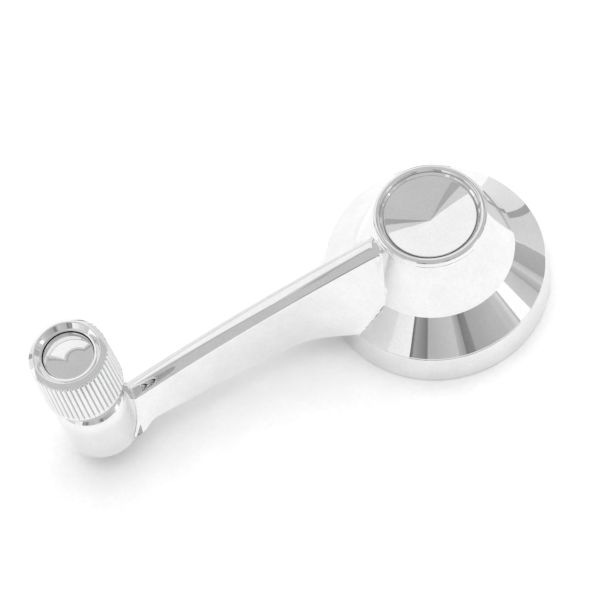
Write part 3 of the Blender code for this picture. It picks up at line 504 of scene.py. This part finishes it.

# %% [markdown]
# The knob is a fluted brass shell over a black moulded core. Each groove is one wave of a cosine, cut into
# the spun shell by moving its points inwards. Raising the wave to a power makes the groove narrower than
# the ridge. The crown rises to a ridge and dips to the groove round the domed cap. The grooves also get
# painted shade: a cosine built from nodes on the object's own coordinates darkens the colour at the bottom
# of each groove and leaves the ridges bright.

# %%
# Knob
FLUTES = 48
FLUTE_DEPTH = 0.5
FLUTE_POWER = 1.7
FLUTE_FOOT = 38.3
FLUTE_TOP = 56.0
WALL_MIDDLE = 10.5  # between the shell's inside and the bottom of its grooves
CAP_RADIUS = 7.15
CAP_RISE = 1.9
CAP_TOP = 57.1
shell_outline = rounded(
    [
        (7.35, 55.8, 0.1),
        (7.9, 55.8, 0.25),
        (9.3, 57.4, 0.4),
        (10.8, 56.3, 0.1),
        (11.16, 55.95, 0.1),
        (11.725, FLUTE_FOOT, 0),
        (11.735, 37.95, 0),
        (11.75, 37.5, 0.2),
        (7.5, 37.5, 0.1),
        (7.5, 37.85, 0.05),
        (10.05, 37.85, 0.05),
        (10.05, 54.5, 0.3),
        (7.35, 54.5, 0.1),
    ]
)
shell = turned(shell_outline, FLUTES * 10)
for vert in shell.verts:
    across = math.hypot(vert.co.x, vert.co.y) / MM
    height = vert.co.z / MM
    if across > WALL_MIDDLE and FLUTE_FOOT <= round(height, 3) < FLUTE_TOP:
        wave = ((1 - math.cos(math.atan2(vert.co.y, vert.co.x) * FLUTES)) / 2) ** FLUTE_POWER
        vert.co.xy *= (across - FLUTE_DEPTH * wave) / across
bmesh.ops.translate(shell, vec=(-CRANK * MM, 0, 0), verts=shell.verts)
tree = CHROME_FLUTES.node_tree
socket = tree.nodes["Principled BSDF"].inputs["Base Color"]
place = add(tree, "ShaderNodeTexCoord", {}).outputs["Object"]
centred = add(tree, "ShaderNodeVectorMath", {0: place, 1: (CRANK * MM, 0, 0)}, operation="ADD").outputs[0]
axes = add(tree, "ShaderNodeSeparateXYZ", {0: centred}).outputs
turn = add(tree, "ShaderNodeMath", {0: axes["Y"], 1: axes["X"]}, operation="ARCTAN2").outputs[0]
flute = add(tree, "ShaderNodeMath", {0: turn, 1: FLUTES}, operation="MULTIPLY").outputs[0]
wave = add(tree, "ShaderNodeMath", {0: flute}, operation="COSINE").outputs[0]
depth = add(tree, "ShaderNodeMapRange", {"Value": wave, "From Min": 0.0, "From Max": -1.0}).outputs[0]
flat = add(tree, "ShaderNodeVectorMath", {0: centred, 1: (1, 1, 0)}, operation="MULTIPLY").outputs[0]
reach = add(tree, "ShaderNodeVectorMath", {0: flat}, operation="LENGTH").outputs["Value"]
side = add(tree, "ShaderNodeMath", {0: reach, 1: WALL_MIDDLE * MM}, operation="GREATER_THAN").outputs[0]
middle = (FLUTE_FOOT + FLUTE_TOP) / 2 * MM
reach_up = (FLUTE_TOP - FLUTE_FOOT) / 2 * MM
band = add(tree, "ShaderNodeMath", {0: axes["Z"], 1: middle, 2: reach_up}, operation="COMPARE").outputs[0]
fluted = add(tree, "ShaderNodeMath", {0: side, 1: band}, operation="MULTIPLY").outputs[0]
# Painted shade: 1 at the bottom of each groove in the fluted band, where the base colour is mixed towards
# dark grey
painted_groove_shade = add(tree, "ShaderNodeMath", {0: depth, 1: fluted}, operation="MULTIPLY").outputs[0]
bright = socket.links[0].from_socket
# The dark grey #AFB0B3 is painted shade for the grooves, not a colour of the metal
shade = add(tree, "ShaderNodeMix", {0: painted_groove_shade, 6: bright, 7: linear("#AFB0B3")}, data_type="RGBA")
tree.links.new(shade.outputs[2], socket)
piece("fluted_shell", shell, "knob", ["knob_sleeve"], CHROME_FLUTES, sharp=50)
core_outline = rounded(
    [
        (7.2, 54.2, 0.1),
        (9.75, 54.2, 0.2),
        (9.75, 38.0, 0.3),
        (5.3, 38.0, 0.2),
        (5.3, 46.85, 0),
        (5.8, 46.85, 0),
        (5.8, 52.7, 0.1),
        (7.2, 52.7, 0),
    ]
)
piece("moulded_core", turned(core_outline, 144, -CRANK), "knob", ["knob_core"], MOULDING)
DOME_RADIUS = (CAP_RADIUS**2 + CAP_RISE**2) / (2 * CAP_RISE)
dome_sweep = math.degrees(math.asin(CAP_RADIUS / DOME_RADIUS))
dome = arc((0, CAP_TOP - DOME_RADIUS), DOME_RADIUS, 90, 90 - dome_sweep, 20)
rim = [(CAP_RADIUS, CAP_TOP - CAP_RISE, 0.3), (CAP_RADIUS, 53.0, 0.2), (0, 53.0, 0)]
dome_outline = rounded([(x, z, 0) for x, z in dome[:-1]] + rim)
piece("domed_cap", turned(dome_outline, 144, -CRANK), "knob", ["knob_cap"], CHROME_BRASS)

# %% [markdown]
# The knob turns on a shoulder pin that is riveted over under the boss, on a washer. The riveted end shows
# from below, so it gets the soft upset shape that a rivet set leaves.

# %%
# Pin and washers
pin_outline = rounded(
    [
        (0, 10.0, 0),
        (3.4, 10.0, 1.2),
        (4.8, 11.2, 0.5),
        (4.8, 11.7, 0.1),
        (3.3, 11.7, 0),
        (3.3, 50.4, 0),
        (5.5, 50.4, 0.1),
        (5.5, 52.2, 0.3),
        (0, 52.2, 0),
    ]
)
piece("shoulder_pin", turned(pin_outline, 96, -CRANK), "crank", ["knob_pin"], STEEL)
under_boss = (3.6, 6.1, 12.0, 13.1, 0.12)
under_knob = (3.6, 7.1, 36.7, 37.7, 0.12)
washer("pin_washer", *under_boss, "crank", "zinc_plated_steel", ["rivet_washer"], STEEL, -CRANK)
washer("slip_washer", *under_knob, "crank", "natural_nylon", ["thrust_washer"], NYLON, -CRANK)

# %% [markdown]
# The other parts keep the shape they came with, because little or nothing of them is seen. They only get
# better materials in the slots that they already have.

# %%
# Finishes of the parts that stay as they are
KEPT = {
    NYLON: ["friction_ring"],
    STEEL: ["hub_screw", "hub_plain_washer", "knob_plain_washer"],
    SPRING: ["hub_lock_washer", "cap_snap_ring", "escutcheon_spring", "knob_wave_washer"],
    BRONZE: ["knob_bush"],
}
for look, names in KEPT.items():
    for name in names:
        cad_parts[name].material_slots[0].material = look
print("kept parts:", sum(len(names) for names in KEPT.values()))

# %% [markdown]
# Polished chrome has no colour of its own to show: it shows the studio. So the light is built as a
# photographer would for a shiny part: a pale room, a soft light over it, and a few white and grey cards
# round the object that only reflections see. Each card is a patch of a large sphere, given by the compass
# directions and the heights it covers in degrees, seen from the hub.

# %%
# Floor, light and cards


def staged(name, bm, look):
    mesh = bpy.data.meshes.new(name)
    bm.to_mesh(mesh)
    bm.free()
    mesh.materials.append(look)
    obj = bpy.data.objects.new(name, mesh)
    bpy.context.scene.collection.objects.link(obj)
    return obj


def glow(name, shade, other):
    """A card that glows so that the chrome shows it as one hex shade on its left, turning to the other."""
    made = bpy.data.materials.new(name)
    made.use_nodes = True
    shader = made.node_tree.nodes["Principled BSDF"]
    shader.inputs["Base Color"].default_value = (0, 0, 0, 1)
    shader.inputs["Specular IOR Level"].default_value = 0
    across = add(made.node_tree, "ShaderNodeAttribute", {}, attribute_name="across").outputs["Fac"]
    blend = {0: across, 6: linear(shade), 7: linear(other)}
    mixed = add(made.node_tree, "ShaderNodeMix", blend, data_type="RGBA")
    made.node_tree.links.new(mixed.outputs[2], shader.inputs["Emission Color"])
    shader.inputs["Emission Strength"].default_value = 1 / CHROME_LEVEL
    made.cycles.emission_sampling = "NONE"
    return made


CHROME_LEVEL = 0.8
CARD_DISTANCE = 2.4


def only_reflections(obj):
    obj.visible_camera = False
    obj.visible_diffuse = False
    obj.visible_shadow = False


def card(name, left, right, low, high, shade, other="", lean=0.0, tilt=0.0, distance=CARD_DISTANCE):
    """A card between two compass directions and two heights, in degrees. Lean and tilt slant its edges."""
    bm = bmesh.new()
    across = bm.verts.layers.float.new("across")
    bmesh.ops.create_grid(bm, x_segments=16, y_segments=8, size=1)
    for vert in bm.verts:
        up = (vert.co.y + 1) / 2
        vert[across] = (vert.co.x + 1) / 2
        turn = math.radians(left + (right - left) * (vert.co.x + 1) / 2 + lean * up)
        rise = math.radians(low + (high - low + tilt * (vert.co.x + 1) / 2) * up)
        flat = distance * math.cos(rise)
        vert.co = (flat * math.cos(turn), flat * math.sin(turn), 0.02 + distance * math.sin(rise))
    only_reflections(staged(name, bm, glow(name, shade, other or shade)))


def mat(name, left, right, shade, other="", near=0.044, far=2.2):
    """A glowing sector on the floor that only reflections see, between two compass directions in degrees:
    grey paper, or painted shadow close to the object.
    """
    bm = bmesh.new()
    across = bm.verts.layers.float.new("across")
    bmesh.ops.create_grid(bm, x_segments=10, y_segments=10, size=1)
    for vert in bm.verts:
        vert[across] = (vert.co.x + 1) / 2
        turn = math.radians(left + (right - left) * vert[across])
        away = near + (far - near) * ((vert.co.y + 1) / 2) ** 2
        vert.co = (away * math.cos(turn), away * math.sin(turn), 0.2 * MM)
    only_reflections(staged(name, bm, glow(name, shade, other or shade)))


floor_look = finish("pale matt paper", "#FBFBFB", "#FFFFFF", (0.9, 1.0), 1.5, 2.0)
sheet = bmesh.new()
bmesh.ops.create_grid(sheet, x_segments=4, y_segments=4, size=6)
bmesh.ops.translate(sheet, vec=(0, 0, -0.1 * MM), verts=sheet.verts)
staged("floor", sheet, floor_look)

# Standing cards, from the left round the front to the right
card("left_white_card", 150, 177, 0, 20, "#F8F8F8")
card("left_grey_card", 177, 203, 4, 30, "#C6C6C6", "#DADADA")
card("left_light_card", -157, -140, 4, 33, "#E4E4E4", "#F0F0F0")
card("left_dark_line", -140, -137.5, 4, 33, "#606060", "#8C8C8C")
card("left_dark_flag", -137.5, -127, 4, 33, "#A0A0A0", "#7C7C7C")
card("left_second_line", -127, -124.5, 4, 33, "#6C6C6C", "#C0C0C0")
card("front_grey_card", -124.5, -101, 4, 33, "#B0B0B0", "#C4C4C4")
card("front_soft_flag", -101, -95, 4, 33, "#B4B4B4", "#9A9A9A")
card("front_dark_flag", -95, -87, 4, 33, "#7A7A7A", "#8A8A8A")
card("front_slit", -87, -84.5, 4, 33, "#D8D8D8", "#A0A0A0")
card("front_mid_card", -84.5, -56, 4, 33, "#A2A2A2", "#B8B8B8", lean=-4)
card("front_edge_card", -56, -51, 2, 28, "#BCBCBC", "#DADADA", lean=4)
card("right_white_card", -51, -39, -1, 24, "#FFFFFF", "#FFFFFF", lean=6)
card("right_grey_card", -39, -26, -1, 24, "#C9C9C9", "#BEBEBE", lean=6)
card("right_soft_flag", -26, -19, -1, 24, "#A0A0A0", "#C0C0C0", lean=4)
card("right_slit", -19, -13, -1, 24, "#D2D2D2", "#B8B8B8", lean=2)
card("right_mid_card", -13, 3, -1, 24, "#A6A6A6", "#B0B0B0")
card("far_right_card", 3, 60, 0, 24, "#D6D6D6")
card("low_white_wall", -157, -56, -1, 4, "#F4F4F4")
card("back_wall", 60, 130, 0, 30, "#E4E4E4")
card("back_flag", 130, 136, -1, 20, "#A0A0A0")
card("back_left_card", 136, 150, 0, 25, "#E0E0E0")
# The big softbox behind, higher to one side, with a grey border in a thin dark frame
card("softbox_frame", 31, 140, 30, 54, "#A2A2A2", "#ABABAB", tilt=26, distance=2.6)
card("softbox_border", 36, 134, 31, 51.5, "#CDCDCD", tilt=22, distance=2.5)
card("softbox", 41, 128, 32, 48, "#EEEEEE", "#F1F1F1", tilt=19)

# Paper mats on the floor at the far side, which the flange shows. The nearest one is painted shadow next to
# the escutcheon's foot.
mat("mat_light", 1, 17, "#D4D4D4", "#CCCCCC")
mat("mat_line", 17, 20.5, "#A0A0A0")
mat("mat_pale", 20.5, 40, "#D8D8D8", "#E2E2E2")
mat("mat_dark", 57, 76, "#C0C0C0", "#9A9A9A")
mat("mat_edge", 76, 82, "#C8C8C8", "#F0F0F0")
# Painted contact shadow: a dark sector just outside the escutcheon's foot, seen only in reflections
mat("painted_contact_shadow", 2, 32, "#B4B4B4", "#909090", near=0.041, far=0.0465)

bpy.context.scene.view_settings.view_transform = "Standard"
room = bpy.data.worlds.new("pale room")
bpy.context.scene.world = room
room.use_nodes = True
room.node_tree.nodes["Background"].inputs["Color"].default_value = linear("#BEBEBE")
room.node_tree.nodes["Background"].inputs["Strength"].default_value = 1 / CHROME_LEVEL


def softbox(name, place, size, power):
    light = bpy.data.lights.new(name, "AREA")
    light.shape = "RECTANGLE"
    light.size = size[0]
    light.size_y = size[1]
    light.energy = power
    obj = bpy.data.objects.new(name, light)
    obj.location = place
    obj.rotation_euler = (-Vector(place)).to_track_quat("-Z", "Y").to_euler()
    obj.visible_glossy = False
    obj.visible_camera = False
    bpy.context.scene.collection.objects.link(obj)


softbox("overhead softbox", (0.6, 0.8, 3.0), (5.0, 5.0), 104)

# %% [markdown]
# The camera is given by its right and up directions. Their cross product points backwards, and the three
# of them with the place make its matrix. A long lens keeps the hub and the knob close to their true
# proportions.

# %%
# Camera at the viewing angle
RIGHT = Vector((0.897036, -0.426339, -0.116457))
UP = Vector((0.429647, 0.779469, 0.455885))
camera = bpy.data.cameras.new("camera")
camera.lens = 110.54
camera.sensor_width = 36
camera.clip_start = 0.05
camera.clip_end = 30
view = bpy.data.objects.new("camera", camera)
rows = zip(RIGHT, UP, RIGHT.cross(UP), (-0.098835, -0.246154, 0.498908))
view.matrix_world = Matrix([*rows, (0, 0, 0, 1)])
bpy.context.scene.collection.objects.link(view)
bpy.context.scene.camera = view
print("camera at", [round(c, 3) for c in view.location])
